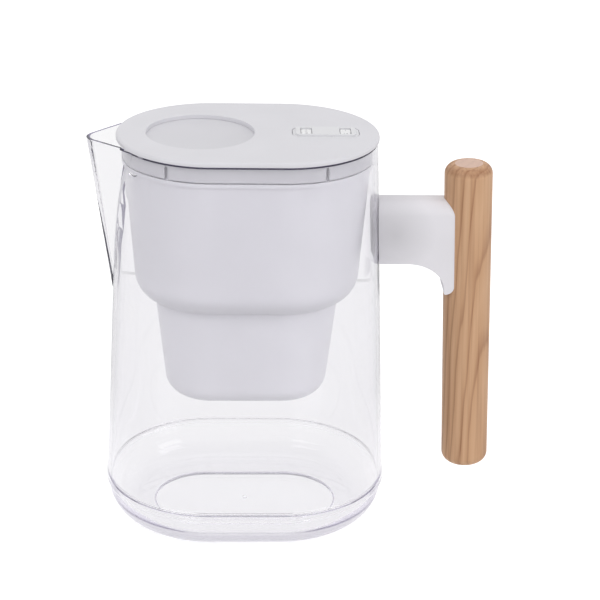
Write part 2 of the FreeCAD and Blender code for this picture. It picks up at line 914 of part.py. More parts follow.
def indicator_bezel():
    """A plate with a raised bar and two windows, hollowed beneath them for the wheels."""
    low = lid_bottom + bezel_ledge
    plate_top = low + bezel_plate
    plate = rounded_slab(indicator_offset, 0, bezel_half_length, bezel_half_width, bezel_corner_radius,
                         low, plate_top)
    bar = rounded_slab(indicator_offset, 0, bar_half_length, bar_half_width, bar_corner_radius,
                       low, bar_top)
    windows = []
    for side in (-1, 1):
        x = indicator_offset + side * window_spread
        left = x - window_width / 2
        right = x + window_width / 2
        windows.append(block(left, right, -window_half_length, window_half_length, low - bury, bar_top + bury))
        windows.append(rod(wheel_radius + window_relief, V(left, 0, axle_height), V(right, 0, axle_height)))
    bezel = cut_all(plate.fuse(bar), windows)
    return fuse_all([bezel] + [bezel_leg(side) for side in (-1, 1)])


def bezel_leg(side):
    """A snap leg at one end of the bezel, with a barb that catches under the lid."""
    face = bezel_half_length - bezel_ledge_width - leg_inset
    low = lid_bottom + bezel_ledge - leg_length
    leg = [
        (face - leg_thickness, low),
        (face, low),
        (face + barb_reach, low + barb_height / 2),
        (face + barb_reach, low + barb_height),
        (face, low + barb_height),
        (face, lid_bottom + bezel_ledge + bury),
        (face - leg_thickness, lid_bottom + bezel_ledge + bury),
    ]
    profile = rounded_face(leg, lambda x, z: V(indicator_offset + side * x, -leg_width / 2, z))
    return profile.extrude(V(0, leg_width, 0))


def axle_rod(radius, half_length):
    return rod(radius, V(indicator_offset - half_length, 0, axle_height),
               V(indicator_offset + half_length, 0, axle_height))


def indicator_housing():
    floor = housing_floor_top - housing_wall
    x = indicator_offset
    shell = block(x - housing_outer_length, x + housing_outer_length,
                  -housing_outer_width, housing_outer_width, floor, lid_bottom)
    shell = shell.cut(block(x - housing_half_length, x + housing_half_length,
                            -housing_half_width, housing_half_width, housing_floor_top, lid_bottom + bury))
    parts = [shell]
    for start in (-cheek_outer - cheek_thickness, -cheek_inner - cheek_thickness, cheek_inner, cheek_outer):
        parts.append(block(x + start, x + start + cheek_thickness,
                           -housing_half_width - bury, housing_half_width + bury,
                           housing_floor_top - bury, axle_height + cheek_above))
    for side in (-1, 1):
        near = housing_outer_width - bury
        reach = boss_spread + boss_diameter / 2
        low = min(side * near, side * reach)
        parts.append(block(x - housing_tab_width / 2, x + housing_tab_width / 2,
                           low, low + reach - near, tab_bottom, tab_top))
    bore = rod(axle_radius + axle_seat, V(x - housing_outer_length - bury, 0, axle_height),
               V(x + axle_half_length, 0, axle_height))
    holes = [housing_screw(side, housing_screw_clearance) for side in (-1, 1)]
    return cut_all(fuse_all(parts), [bore] + holes)


def housing_screw(side, clearance):
    """One screw up into the lid's boss, or with a clearance the hole for it."""
    y = side * boss_spread
    tip = lid_bottom + housing_screw_tip + clearance
    shank = rod(housing_screw_diameter / 2 + clearance,
                V(indicator_offset, y, tab_bottom - bury), V(indicator_offset, y, tip))
    if clearance:
        return shank
    head = rod(housing_screw_head_diameter / 2, V(indicator_offset, y, tab_bottom - housing_screw_head_height),
               V(indicator_offset, y, tab_bottom))
    return shank.fuse(head).removeSplitter()


def housing_screws():
    return Part.makeCompound([housing_screw(side, 0) for side in (-1, 1)])


def wheel_axle():
    return axle_rod(axle_radius, axle_half_length)


def number_wheel(offset, count):
    """A thumb wheel with a fine groove between its numbers."""
    half = wheel_width / 2
    start = V(indicator_offset + offset - half, 0, axle_height)
    wheel = turned([
        (axle_radius + axle_running, 0),
        (wheel_radius - wheel_chamfer, 0),
        (wheel_radius, wheel_chamfer),
        (wheel_radius, wheel_width - wheel_chamfer),
        (wheel_radius - wheel_chamfer, wheel_width),
        (axle_radius + axle_running, wheel_width),
    ], start, V(1, 0, 0))
    grooves = []
    for i in range(count):
        angle = 2 * math.pi * (i + 0.5) / count
        edge = start + V(-bury, wheel_radius * math.sin(angle), wheel_radius * math.cos(angle))
        grooves.append(rod(wheel_groove_radius, edge, edge + V(wheel_width + 2 * bury, 0, 0)))
    return wheel.cut(Part.makeCompound(grooves))


NODES = {
    "jug_body": jug_body,
    "jug_base": jug_base,
    "handle_bracket": handle_bracket,
    "handle_grip": handle_grip,
    "grip_screws": grip_screws,
    "funnel": funnel,
    "cartridge_shell": cartridge_shell,
    "cartridge_cap": cartridge_cap,
    "cartridge_seal": cartridge_seal,
    "lower_mesh": lower_mesh,
    "resin_bed": resin_bed,
    "carbon_bed": lambda: bed(resin_top, carbon_top),
    "upper_mesh": lambda: bed(carbon_top, carbon_top + mesh_thickness),
    "lid_shell": lid_shell,
    "fill_flap": fill_flap,
    "flap_pin": flap_pin,
    "flap_spring": flap_spring,
    "indicator_bezel": indicator_bezel,
    "indicator_housing": indicator_housing,
    "wheel_axle": wheel_axle,
    "day_wheel": lambda: number_wheel(-window_spread, day_count),
    "month_wheel": lambda: number_wheel(window_spread, month_count),
    "housing_screws": housing_screws,
}

os.makedirs("parts", exist_ok=True)
for name, make in NODES.items():
    make().exportStep("parts/" + name + ".step")
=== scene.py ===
import math

import bmesh
import bpy
from mathutils import Matrix, Vector


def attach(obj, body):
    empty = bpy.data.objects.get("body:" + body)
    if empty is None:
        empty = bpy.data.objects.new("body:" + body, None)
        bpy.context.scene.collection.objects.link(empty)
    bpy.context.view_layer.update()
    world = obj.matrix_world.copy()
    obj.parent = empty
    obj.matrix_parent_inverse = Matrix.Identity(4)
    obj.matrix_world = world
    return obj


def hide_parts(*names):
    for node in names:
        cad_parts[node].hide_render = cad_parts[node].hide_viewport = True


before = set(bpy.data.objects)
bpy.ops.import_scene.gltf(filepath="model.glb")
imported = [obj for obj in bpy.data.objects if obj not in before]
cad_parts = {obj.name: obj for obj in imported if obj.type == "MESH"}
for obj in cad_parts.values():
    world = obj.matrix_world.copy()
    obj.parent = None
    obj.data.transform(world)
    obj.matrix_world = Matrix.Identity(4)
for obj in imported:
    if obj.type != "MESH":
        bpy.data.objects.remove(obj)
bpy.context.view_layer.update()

MM = 0.001
WHITE = (1.0, 1.0, 1.0, 1.0)


# Colours


def srgb(red, green, blue):
    """A colour given as 0 to 255 on a screen, as the shader's linear values."""
    def linear(level):
        share = level / 255
        return share / 12.92 if share <= 0.04045 else ((share + 0.055) / 1.055) ** 2.4
    return (linear(red), linear(green), linear(blue), 1.0)


def grey(level):
    return (level, level, level, 1.0)


def shade_of(colour, share):
    """A darker or paler shade of a colour, no paler than white."""
    return tuple(min(1.0, level * share) for level in colour[:3]) + (1.0,)


# Steps that shaders are built from


def start_material(name):
    material = bpy.data.materials.new(name)
    material.use_nodes = True
    nodes = material.node_tree.nodes
    return material, nodes, material.node_tree.links, nodes["Principled BSDF"]


def arithmetic(nodes, links, operation, first, second):
    """One step of arithmetic on two values, each a socket or a plain number."""
    step = nodes.new("ShaderNodeMath")
    step.operation = operation
    for socket, value in zip(step.inputs, (first, second)):
        if isinstance(value, (int, float)):
            socket.default_value = value
        else:
            links.new(value, socket)
    return step.outputs[0]


def with_vector(nodes, links, operation, vector, other):
    """One step of arithmetic on a vector and three plain numbers."""
    step = nodes.new("ShaderNodeVectorMath")
    step.operation = operation
    step.inputs[1].default_value = other
    links.new(vector, step.inputs[0])
    return step.outputs[0]


def length_of(nodes, links, vector):
    step = nodes.new("ShaderNodeVectorMath")
    step.operation = "LENGTH"
    links.new(vector, step.inputs[0])
    return step.outputs["Value"]


def parts_of(nodes, links, vector):
    """The X, Y and Z outputs of a vector."""
    split = nodes.new("ShaderNodeSeparateXYZ")
    links.new(vector, split.inputs[0])
    return split.outputs


def object_place(nodes):
    return nodes.new("ShaderNodeTexCoord").outputs["Object"]


def seen_from(nodes, links, vector, location, rotation):
    """A place as it is in a frame that was moved and turned."""
    place = nodes.new("ShaderNodeMapping")
    place.vector_type = "TEXTURE"
    place.inputs["Location"].default_value = location
    place.inputs["Rotation"].default_value = rotation
    links.new(vector, place.inputs["Vector"])
    return place.outputs[0]


def noise(nodes, links, scale, detail=2.0, vector=None):
    texture = nodes.new("ShaderNodeTexNoise")
    texture.inputs["Scale"].default_value = scale
    texture.inputs["Detail"].default_value = detail
    links.new(vector or object_place(nodes), texture.inputs["Vector"])
    return texture.outputs["Fac"]


def colour_ramp(nodes, links, factor, stops):
    ramp = nodes.new("ShaderNodeValToRGB")
    elements = ramp.color_ramp.elements
    while len(elements) < len(stops):
        elements.new(0.5)
    for element, (position, colour) in zip(elements, stops):
        element.position = position
        element.color = colour
    links.new(factor, ramp.inputs[0])
    return ramp.outputs[0]


def blend_colours(nodes, links, factor, first, second):
    mix = nodes.new("ShaderNodeMix")
    mix.data_type = "RGBA"
    for name, value in (("Factor", factor), ("A", first), ("B", second)):
        if isinstance(value, (tuple, float)):
            mix.inputs[name].default_value = value
        else:
            links.new(value, mix.inputs[name])
    return mix.outputs["Result"]


def range_of(nodes, links, factor, low, high):
    spread = nodes.new("ShaderNodeMapRange")
    spread.inputs["To Min"].default_value = low
    spread.inputs["To Max"].default_value = high
    links.new(factor, spread.inputs["Value"])
    return spread.outputs[0]


def add_bump(nodes, links, shader, height, distance, strength):
    bump = nodes.new("ShaderNodeBump")
    bump.inputs["Distance"].default_value = distance
    bump.inputs["Strength"].default_value = strength
    links.new(height, bump.inputs["Height"])
    links.new(bump.outputs[0], shader.inputs["Normal"])


def mix_shaders(nodes, links, factor, first, second):
    mix = nodes.new("ShaderNodeMixShader")
    for socket, value in zip(mix.inputs, (factor, first, second)):
        links.new(value, socket)
    return mix.outputs[0]


def let_through(nodes, links, surface, choice, colour):
    """The surface, but clear and tinted for the rays where the choice is 1."""
    way_out = nodes.new("ShaderNodeBsdfTransparent")
    way_out.inputs["Color"].default_value = colour
    return mix_shaders(nodes, links, choice, surface, way_out.outputs[0])


def set_surface(nodes, links, surface):
    links.new(surface, nodes["Material Output"].inputs["Surface"])


def ray_is(nodes, kind):
    """1 for rays of one kind, such as Camera or Glossy."""
    return nodes.new("ShaderNodeLightPath").outputs["Is " + kind + " Ray"]


def seen_directly(nodes, links):
    """1 for rays that come from the camera, straight or through clear plastic."""
    return arithmetic(nodes, links, "MAXIMUM", ray_is(nodes, "Camera"), ray_is(nodes, "Transmission"))


# Camera, from a fit to the photograph's outlines

CAMERA_PLACE = Vector((-0.0130, -1.0148, 0.5787))
CAMERA_TURN = math.radians(2.53)
CAMERA_PITCH = math.radians(23.5)
CAMERA_ROLL = math.radians(1.25)
FOCAL_PIXELS = 1860
IMAGE_PIXELS = 600
SENSOR_WIDTH = 36.0


def make_camera():
    data = bpy.data.cameras.new("camera")
    data.sensor_width = SENSOR_WIDTH
    data.lens = SENSOR_WIDTH * FOCAL_PIXELS / IMAGE_PIXELS
    camera = bpy.data.objects.new("camera", data)
    bpy.context.scene.collection.objects.link(camera)
    level = math.cos(CAMERA_PITCH)
    forward = Vector((level * math.sin(CAMERA_TURN), level * math.cos(CAMERA_TURN), -math.sin(CAMERA_PITCH)))
    right = Vector((math.cos(CAMERA_TURN), -math.sin(CAMERA_TURN), 0))
    up = right.cross(forward)
    rolled_right = right * math.cos(CAMERA_ROLL) + up * math.sin(CAMERA_ROLL)
    rolled_up = up * math.cos(CAMERA_ROLL) - right * math.sin(CAMERA_ROLL)
    turn = Matrix((rolled_right, rolled_up, -forward)).transposed()
    camera.matrix_world = Matrix.Translation(CAMERA_PLACE) @ turn.to_4x4()
    bpy.context.scene.camera = camera


# Studio

AMBIENT_LIGHT = 0.62


def make_world():
    """Even light from all round, and plain white where it is seen or mirrored."""
    world = bpy.data.worlds.new("studio")
    world.use_nodes = True
    bpy.context.scene.world = world
    nodes = world.node_tree.nodes
    links = world.node_tree.links
    nodes.clear()
    ambient = nodes.new("ShaderNodeBackground")
    ambient.inputs["Strength"].default_value = AMBIENT_LIGHT
    white = nodes.new("ShaderNodeBackground")
    white.inputs["Strength"].default_value = 1.0
    for background in (ambient, white):
        background.inputs["Color"].default_value = WHITE
    seen = arithmetic(nodes, links, "MAXIMUM", seen_directly(nodes, links), ray_is(nodes, "Glossy"))
    surface = mix_shaders(nodes, links, seen, ambient.outputs[0], white.outputs[0])
    output = nodes.new("ShaderNodeOutputWorld")
    links.new(surface, output.inputs["Surface"])


FLOOR_HALF = 6.0
FLOOR_COLOUR = grey(0.9)
FLOOR_ROUGHNESS = 0.9
FLOOR_GLOW = 0.5
NEAR_FLOOR = 0.15
FAR_FLOOR = 0.25
FAR_SHARE = 0.25
THROUGH_SHARE = 0.85
TABLE_EDGE = 0.363
TABLE_SLANT = 0.055
TABLE_LEVEL = 0.97
WALL_LEVEL = 1.0
EDGE_LINE_HALF = 0.003
EDGE_LINE_TONE = 0.3


def floor_place(nodes):
    return nodes.new("ShaderNodeNewGeometry").outputs["Position"]


def table_level(nodes, links):
    """How bright the table, its back edge and the wall behind are, seen through the clear plastic."""
    place = parts_of(nodes, links, floor_place(nodes))
    slant = arithmetic(nodes, links, "MULTIPLY", place["X"], TABLE_SLANT)
    back = arithmetic(nodes, links, "ADD", place["Y"], slant)
    depth = arithmetic(nodes, links, "SUBTRACT", back, TABLE_EDGE)
    near = arithmetic(nodes, links, "LESS_THAN", depth, 0.0)
    off_edge = arithmetic(nodes, links, "ABSOLUTE", depth, 0.0)
    at_edge = arithmetic(nodes, links, "LESS_THAN", off_edge, EDGE_LINE_HALF)
    table = arithmetic(nodes, links, "MULTIPLY", near, WALL_LEVEL - TABLE_LEVEL)
    line = arithmetic(nodes, links, "MULTIPLY", at_edge, EDGE_LINE_TONE)
    level = arithmetic(nodes, links, "SUBTRACT", WALL_LEVEL, table)
    return arithmetic(nodes, links, "SUBTRACT", level, line)


def mirrored_share(nodes, links):
    """How much of the floor's glow a gloss mirrors: all of it close to the jug, and less farther out."""
    fall = nodes.new("ShaderNodeMapRange")
    fall.inputs["From Min"].default_value = NEAR_FLOOR
    fall.inputs["From Max"].default_value = FAR_FLOOR
    fall.inputs["To Min"].default_value = 1.0
    fall.inputs["To Max"].default_value = FAR_SHARE
    links.new(length_of(nodes, links, floor_place(nodes)), fall.inputs["Value"])
    return arithmetic(nodes, links, "MULTIPLY", ray_is(nodes, "Glossy"), fall.outputs[0])


def make_floor():
    """Pale paper that glows towards the camera, and shows the table's edge through clear plastic."""
    half = FLOOR_HALF
    mesh = bpy.data.meshes.new("floor")
    corners = [(-half, -half, 0), (half, -half, 0), (half, half, 0), (-half, half, 0)]
    mesh.from_pydata(corners, [], [(0, 1, 2, 3)])
    floor = bpy.data.objects.new("floor", mesh)
    bpy.context.scene.collection.objects.link(floor)
    material, nodes, links, shader = start_material("floor_paper")
    shader.inputs["Base Color"].default_value = FLOOR_COLOUR
    shader.inputs["Roughness"].default_value = FLOOR_ROUGHNESS
    shader.inputs["Specular IOR Level"].default_value = 0.0
    shader.inputs["Emission Color"].default_value = WHITE
    seen = arithmetic(nodes, links, "MAXIMUM", seen_directly(nodes, links), mirrored_share(nodes, links))
    glow = arithmetic(nodes, links, "MULTIPLY", seen, FLOOR_GLOW)
    links.new(glow, shader.inputs["Emission Strength"])
    through = nodes.new("ShaderNodeEmission")
    links.new(table_level(nodes, links), through.inputs["Strength"])
    share = arithmetic(nodes, links, "MULTIPLY", ray_is(nodes, "Transmission"), THROUGH_SHARE)
    set_surface(nodes, links, mix_shaders(nodes, links, share, shader.outputs[0], through.outputs[0]))
    floor.data.materials.append(material)


LAMP_AIM = Vector((0.0, 0.0, 0.12))
LAMPS = [
    # name, place, width, power
    ("key_lamp", (-1.0, -1.3, 1.6), 1.2, 9.5),
    ("fill_lamp", (1.4, -1.0, 1.0), 1.0, 7.0),
    ("top_lamp", (0.2, 0.5, 1.9), 1.4, 4.0),
]


def make_lamp(name, place, width, power):
    data = bpy.data.lights.new(name, "AREA")
    data.shape = "SQUARE"
    data.size = width
    data.energy = power
    lamp = bpy.data.objects.new(name, data)
    bpy.context.scene.collection.objects.link(lamp)
    lamp.location = place
    lamp.rotation_euler = (LAMP_AIM - Vector(place)).to_track_quat("-Z", "Y").to_euler()
    lamp.visible_camera = False


def make_studio():
    make_camera()
    make_world()
    make_floor()
    for lamp in LAMPS:
        make_lamp(*lamp)
    bpy.context.scene.view_settings.view_transform = "Standard"


# Reading places from the solids


def world_corners(name):
    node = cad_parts[name]
    return [node.matrix_world @ vertex.co for vertex in node.data.vertices]


def mean(points):
    return sum(points, Vector((0, 0, 0))) / len(points)


def node_box(name):
    corners = world_corners(name)
    low = Vector([min(p[i] for p in corners) for i in range(3)])
    high = Vector([max(p[i] for p in corners) for i in range(3)])
    return low, high


# Clear plastic of the jug

CLEAR_IOR = 1.52
CLEAR_ABSORPTION = (0.20, 0.15, 0.33, 1.0)
WALL_DENSITY = 30.0
BASE_DENSITY = 21.0
WALL_REFLECTIONS = 3
BASE_REFLECTIONS = 1
WALL_TRAPPED = (0.28, 0.25, 0.40, 1.0)
HAZE_SCALE = 14.0
HAZE_ROUGHNESS = 0.012


def clear_plastic(name, density, most_reflections, trapped_colour):
    """Clear plastic with a lavender body. Lamp light passes, and trapped light leaves in trapped_colour."""
    material, nodes, links, shader = start_material(name)
    shader.inputs["Base Color"].default_value = WHITE
    shader.inputs["Transmission Weight"].default_value = 1.0
    shader.inputs["IOR"].default_value = CLEAR_IOR
    haze = noise(nodes, links, HAZE_SCALE)
    links.new(range_of(nodes, links, haze, 0.0, HAZE_ROUGHNESS), shader.inputs["Roughness"])
    reflections = nodes.new("ShaderNodeLightPath").outputs["Glossy Depth"]
    trapped = arithmetic(nodes, links, "GREATER_THAN", reflections, most_reflections)
    surface = let_through(nodes, links, shader.outputs[0], trapped, trapped_colour)
    set_surface(nodes, links, let_through(nodes, links, surface, ray_is(nodes, "Shadow"), WHITE))
    absorption = nodes.new("ShaderNodeVolumeAbsorption")
    absorption.inputs["Color"].default_value = CLEAR_ABSORPTION
    absorption.inputs["Density"].default_value = density
    links.new(absorption.outputs[0], nodes["Material Output"].inputs["Volume"])
    return material


# Moulded plastic

MOTTLE_SCALE = 26.0
MOTTLE_DETAIL = 4.0
MOTTLE_FROM = 0.3
MOTTLE_TO = 0.7
MOTTLE_DEEP = 0.975
MOTTLE_PALE = 1.015
MOULD_GRAIN_SCALE = 2600.0
MOULD_GRAIN_HEIGHT = 0.04 * MM
SMOOTHER = 0.05
ROUGHER = 0.07
PLASTICS = [
    # name, colour, roughness, strength of the grain, nodes
    ("lid_plastic", srgb(222, 221, 226), 0.42, 0.25, ["lid_shell", "indicator_housing"]),
    # The flap's plastic is the lid's plastic made darker: painted shade for the recess it lies in.
    ("flap_plastic_painted_shade", srgb(215, 214, 219), 0.42, 0.25, ["fill_flap"]),
    ("bezel_plastic", srgb(225, 225, 228), 0.35, 0.2, ["indicator_bezel"]),
    ("funnel_plastic", srgb(242, 241, 246), 0.3, 0.15, ["funnel"]),
    ("cartridge_plastic", srgb(230, 230, 232), 0.4, 0.2, ["cartridge_shell", "cartridge_cap"]),
    ("wheel_plastic", srgb(240, 240, 241), 0.4, 0.2, ["day_wheel", "month_wheel"]),
]


def moulded_plastic(name, colour, roughness, grain):
    """Opaque plastic with faint mottling and a fine moulded grain."""
    material, nodes, links, shader = start_material(name)
    mottle = noise(nodes, links, MOTTLE_SCALE, MOTTLE_DETAIL)
    stops = [(MOTTLE_FROM, shade_of(colour, MOTTLE_DEEP)), (MOTTLE_TO, shade_of(colour, MOTTLE_PALE))]
    links.new(colour_ramp(nodes, links, mottle, stops), shader.inputs["Base Color"])
    fine = noise(nodes, links, MOULD_GRAIN_SCALE)
    spread = range_of(nodes, links, fine, roughness - SMOOTHER, roughness + ROUGHER)
    links.new(spread, shader.inputs["Roughness"])
    add_bump(nodes, links, shader, fine, MOULD_GRAIN_HEIGHT, grain)
    return material


BRACKET_COLOUR = srgb(233, 231, 236)
BRACKET_ROUGHNESS = 0.4
BRACKET_GRAIN = 0.2
# Painted shade on the bracket: darker towards this point beside the jug, fading out over the reach.
PAINTED_SHADE_MIDDLE = (86 * MM, 0, 183 * MM)
PAINTED_SHADE_REACH = 24 * MM
PAINTED_SHADE_DEPTH = 0.3
PAINTED_SHADE_TONE = 0.3


def bracket_plastic():
    """The bracket's plastic, with painted shade: a soft dark patch on the part beside the jug."""
    material = moulded_plastic("bracket_plastic", BRACKET_COLOUR, BRACKET_ROUGHNESS, BRACKET_GRAIN)
    nodes = material.node_tree.nodes
    links = material.node_tree.links
    base = nodes["Principled BSDF"].inputs["Base Color"]
    mottled = base.links[0].from_socket
    away = with_vector(nodes, links, "SUBTRACT", object_place(nodes), PAINTED_SHADE_MIDDLE)
    distance = length_of(nodes, links, with_vector(nodes, links, "MULTIPLY", away, (1, 0, 1)))
    near = arithmetic(nodes, links, "DIVIDE", distance, PAINTED_SHADE_REACH)
    # Painted shade: the bracket's colour blends towards a dark copy of itself near the jug.
    shade = colour_ramp(nodes, links, near, [(0.0, grey(PAINTED_SHADE_DEPTH)), (1.0, grey(0.0))])
    painted_shade_colour = shade_of(BRACKET_COLOUR, PAINTED_SHADE_TONE)
    links.new(blend_colours(nodes, links, shade, mottled, painted_shade_colour), base)
    return material


# Wood of the grip

WOOD_PALE = srgb(211, 170, 134)
WOOD_TAN = srgb(198, 154, 117)
WOOD_LINE = srgb(147, 98, 65)
WOOD_END = srgb(222, 192, 178)
WOOD_ROUGHNESS = (0.62, 0.42)
GRIP_END_SHARE = 1 / 8
PITH_OFFSET = (-34 * MM, 21 * MM, 0)
PITH_TILT = (math.radians(1.2), math.radians(3.6), 0)
RING_SPACING = 5.2 * MM
RING_WANDER = 14.0 * MM
RING_STOPS = [(0.0, WOOD_TAN), (0.35, WOOD_PALE), (0.72, WOOD_TAN), (0.92, WOOD_LINE), (1.0, WOOD_TAN)]
WANDER_SCALE = (55, 55, 5)
WANDER_DETAIL = 3.0
STREAK_SCALE = (620, 620, 9)
STREAK_DETAIL = 4.0
STREAK_STOPS = [(0.34, WOOD_LINE), (0.47, WOOD_TAN), (0.66, WOOD_PALE)]
STREAK_SHARE = 0.35
BROAD_SCALE = (160, 160, 5)
BROAD_STOPS = [(0.35, WOOD_TAN), (0.65, WOOD_PALE)]
BROAD_SHARE = 0.15
SHOULDER_STOPS = [(0.15, grey(0.0)), (0.5, grey(0.6)), (0.85, grey(0.4)), (0.99, grey(0.1))]
SHOULDER_STREAKS = (1.6, 0.2)
END_FACING = 0.998
END_SHARE = 0.75
PORE_HEIGHT = 0.08 * MM
PORE_STRENGTH = 0.35


def grip_frame():
    """The foot and the lean of the grip's axis, read from its solid."""
    low, high = node_box("handle_grip")
    corners = world_corners("handle_grip")
    reach = GRIP_END_SHARE * (high.z - low.z)
    foot = mean([p for p in corners if p.z < low.z + reach])
    head = mean([p for p in corners if p.z > high.z - reach])
    return foot, math.atan2(head.x - foot.x, head.z - foot.z)


def stretched_noise(nodes, links, along, scale, detail=2.0):
    return noise(nodes, links, 1.0, detail, with_vector(nodes, links, "MULTIPLY", along, scale))


def year_rings(nodes, links, along):
    """Rings round a pith that is tilted and lies beside the grip."""
    pith = seen_from(nodes, links, along, PITH_OFFSET, PITH_TILT)
    across = length_of(nodes, links, with_vector(nodes, links, "MULTIPLY", pith, (1, 1, 0)))
    wander = stretched_noise(nodes, links, along, WANDER_SCALE, WANDER_DETAIL)
    wandering = arithmetic(nodes, links, "MULTIPLY", wander, RING_WANDER)
    distance = arithmetic(nodes, links, "ADD", across, wandering)
    turns = arithmetic(nodes, links, "DIVIDE", distance, RING_SPACING)
    return colour_ramp(nodes, links, arithmetic(nodes, links, "FRACT", turns, 0.0), RING_STOPS)


def end_grain(nodes, links, side, streak):
    """The wood's colour with darker pores on the rounded shoulder, and a paler flat end."""
    normal = nodes.new("ShaderNodeNewGeometry").outputs["Normal"]
    facing_up = parts_of(nodes, links, normal)["Z"]
    shoulder = colour_ramp(nodes, links, facing_up, SHOULDER_STOPS)
    pores = range_of(nodes, links, streak, *SHOULDER_STREAKS)
    shoulder = arithmetic(nodes, links, "MULTIPLY", shoulder, pores)
    rounded = blend_colours(nodes, links, shoulder, side, WOOD_LINE)
    end = arithmetic(nodes, links, "GREATER_THAN", facing_up, END_FACING)
    end = arithmetic(nodes, links, "MULTIPLY", end, END_SHARE)
    return blend_colours(nodes, links, end, rounded, WOOD_END)


def grip_wood():
    """Turned wood with year rings and long streaks. The jug's gloss does not mirror it."""
    material, nodes, links, shader = start_material("grip_wood")
    foot, lean = grip_frame()
    along = seen_from(nodes, links, object_place(nodes), foot, (0, lean, 0))
    streak = stretched_noise(nodes, links, along, STREAK_SCALE, STREAK_DETAIL)
    streaks = colour_ramp(nodes, links, streak, STREAK_STOPS)
    broad = colour_ramp(nodes, links, stretched_noise(nodes, links, along, BROAD_SCALE), BROAD_STOPS)
    side = blend_colours(nodes, links, STREAK_SHARE, year_rings(nodes, links, along), streaks)
    side = blend_colours(nodes, links, BROAD_SHARE, side, broad)
    links.new(end_grain(nodes, links, side, streak), shader.inputs["Base Color"])
    links.new(range_of(nodes, links, streak, *WOOD_ROUGHNESS), shader.inputs["Roughness"])
    add_bump(nodes, links, shader, streak, PORE_HEIGHT, PORE_STRENGTH)
    set_surface(nodes, links, let_through(nodes, links, shader.outputs[0], ray_is(nodes, "Glossy"), WHITE))
    return material


# Rubber, mesh, grains, ink and steel

RUBBER_STOPS = [(0.3, srgb(196, 199, 205)), (0.7, srgb(208, 210, 215))]
RUBBER_ROUGHNESS = (0.45, 0.6)
RUBBER_SCALE = 60.0
RUBBER_DETAIL = 3.0


def seal_rubber():
    material, nodes, links, shader = start_material("seal_rubber")
    cloud = noise(nodes, links, RUBBER_SCALE, RUBBER_DETAIL)
    links.new(colour_ramp(nodes, links, cloud, RUBBER_STOPS), shader.inputs["Base Color"])
    links.new(range_of(nodes, links, cloud, *RUBBER_ROUGHNESS), shader.inputs["Roughness"])
    return material


THREAD_SCALE = 420.0
THREAD_WAVER = 0.4
THREAD_STOPS = [(0.2, srgb(168, 168, 166)), (0.8, srgb(238, 238, 235))]
THREAD_ROUGHNESS = 0.8
THREAD_HEIGHT = 0.2 * MM
THREAD_STRENGTH = 0.8


def mesh_cloth():
    """A plain weave: threads that cross along X and Y."""
    material, nodes, links, shader = start_material("mesh_cloth")
    place = object_place(nodes)
    threads = []
    for direction in ("X", "Y"):
        thread = nodes.new("ShaderNodeTexWave")
        thread.bands_direction = direction
        thread.inputs["Scale"].default_value = THREAD_SCALE
        thread.inputs["Distortion"].default_value = THREAD_WAVER
        links.new(place, thread.inputs["Vector"])
        threads.append(thread.outputs["Fac"])
    weave = arithmetic(nodes, links, "MAXIMUM", threads[0], threads[1])
    links.new(colour_ramp(nodes, links, weave, THREAD_STOPS), shader.inputs["Base Color"])
    shader.inputs["Roughness"].default_value = THREAD_ROUGHNESS
    add_bump(nodes, links, shader, weave, THREAD_HEIGHT, THREAD_STRENGTH)
    return material


# Name, scale, dark shade, pale shade and roughness of each bed
BEADS = ("resin_beads", 1100.0, srgb(168, 112, 44), srgb(214, 162, 92), 0.3)
CARBON = ("carbon_grains", 800.0, srgb(24, 24, 26), srgb(70, 70, 74), 0.6)
GRAIN_HEIGHT = 0.6 * MM
GRAIN_STRENGTH = 0.9


def packed_grains(name, scale, dark, pale, roughness):
    """A bed of grains, each with its own shade."""
    material, nodes, links, shader = start_material(name)
    cells = nodes.new("ShaderNodeTexVoronoi")
    cells.inputs["Scale"].default_value = scale
    links.new(object_place(nodes), cells.inputs["Vector"])
    shade = nodes.new("ShaderNodeSeparateColor")
    links.new(cells.outputs["Color"], shade.inputs[0])
    colour = colour_ramp(nodes, links, shade.outputs[0], [(0.0, dark), (1.0, pale)])
    links.new(colour, shader.inputs["Base Color"])
    shader.inputs["Roughness"].default_value = roughness
    dome = arithmetic(nodes, links, "SUBTRACT", 1.0, cells.outputs["Distance"])
    add_bump(nodes, links, shader, dome, GRAIN_HEIGHT, GRAIN_STRENGTH)
    return material


INK_STOPS = [(0.3, srgb(142, 142, 148)), (0.75, srgb(164, 164, 170))]
INK_SCALE = 1800.0
INK_DETAIL = 3.0
INK_ROUGHNESS = 0.55


def printed_ink():
    material, nodes, links, shader = start_material("printed_ink")
    wear = noise(nodes, links, INK_SCALE, INK_DETAIL)
    links.new(colour_ramp(nodes, links, wear, INK_STOPS), shader.inputs["Base Color"])
    shader.inputs["Roughness"].default_value = INK_ROUGHNESS
    return material


STEEL_COLOUR = srgb(190, 190, 192)
STEEL_SCALE = 900.0
STEEL_DETAIL = 3.0
STEEL_ROUGHNESS = (0.22, 0.4)


def steel():
    material, nodes, links, shader = start_material("steel")
    shader.inputs["Base Color"].default_value = STEEL_COLOUR
    shader.inputs["Metallic"].default_value = 1.0
    drawn = noise(nodes, links, STEEL_SCALE, STEEL_DETAIL)
    links.new(range_of(nodes, links, drawn, *STEEL_ROUGHNESS), shader.inputs["Roughness"])
    return material


# New pieces


def add_piece(name, mesh, material, body):
    mesh.materials.clear()
    mesh.materials.append(material)
    piece = bpy.data.objects.new(name, mesh)
    bpy.context.scene.collection.objects.link(piece)
    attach(piece, body)
    return piece


def mesh_of(curve):
    """The mesh of a curve or text, whose object is then thrown away."""
    source = bpy.data.objects.new(curve.name, curve)
    bpy.context.scene.collection.objects.link(source)
    bpy.context.view_layer.update()
    shown = source.evaluated_get(bpy.context.evaluated_depsgraph_get())
    mesh = bpy.data.meshes.new_from_object(shown)
    bpy.data.objects.remove(source)
    return mesh


WIRE_ROUNDNESS = 3


